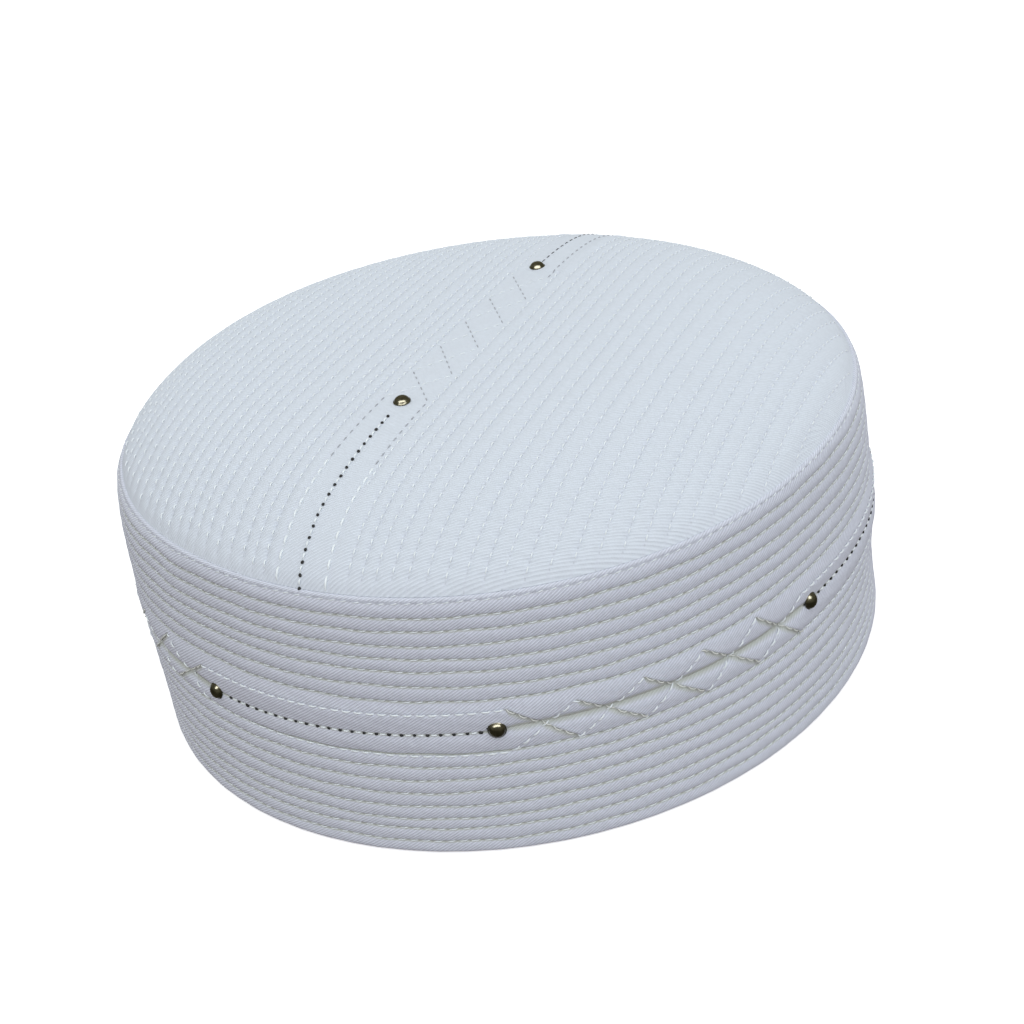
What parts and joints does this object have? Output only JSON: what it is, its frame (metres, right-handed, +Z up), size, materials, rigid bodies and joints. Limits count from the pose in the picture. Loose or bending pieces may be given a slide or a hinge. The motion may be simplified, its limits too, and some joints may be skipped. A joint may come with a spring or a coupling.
{
  "type": "kufi",
  "caption": "Brimless oval cap of quilted white twill: ribbed upright band, domed top, dotted and zigzag stitched motif with dark metal studs.",
  "frame": {"origin": "on the ground under the middle of the cap, centre of the bounding box's base", "axes": "+Z up, -Y the cap's front, +X the wearer's left; the motif strip of the top runs along Y"},
  "size_m": [0.1879, 0.1904, 0.0844],
  "materials": {
    "white_twill": "matte white cotton twill, quilted in close rows",
    "gunmetal": "dark antique metal, worn bright on the dome"
  },
  "bodies": {
    "root": {"side_band": "white_twill", "crown_top": "white_twill", "stud_top_front": "gunmetal", "stud_top_back": "gunmetal", "stud_side_1": "gunmetal", "stud_side_2": "gunmetal", "stud_side_3": "gunmetal", "stud_side_4": "gunmetal", "stud_side_5": "gunmetal", "stud_side_6": "gunmetal", "stud_side_7": "gunmetal", "stud_side_8": "gunmetal"}
  },
  "joints": []
}
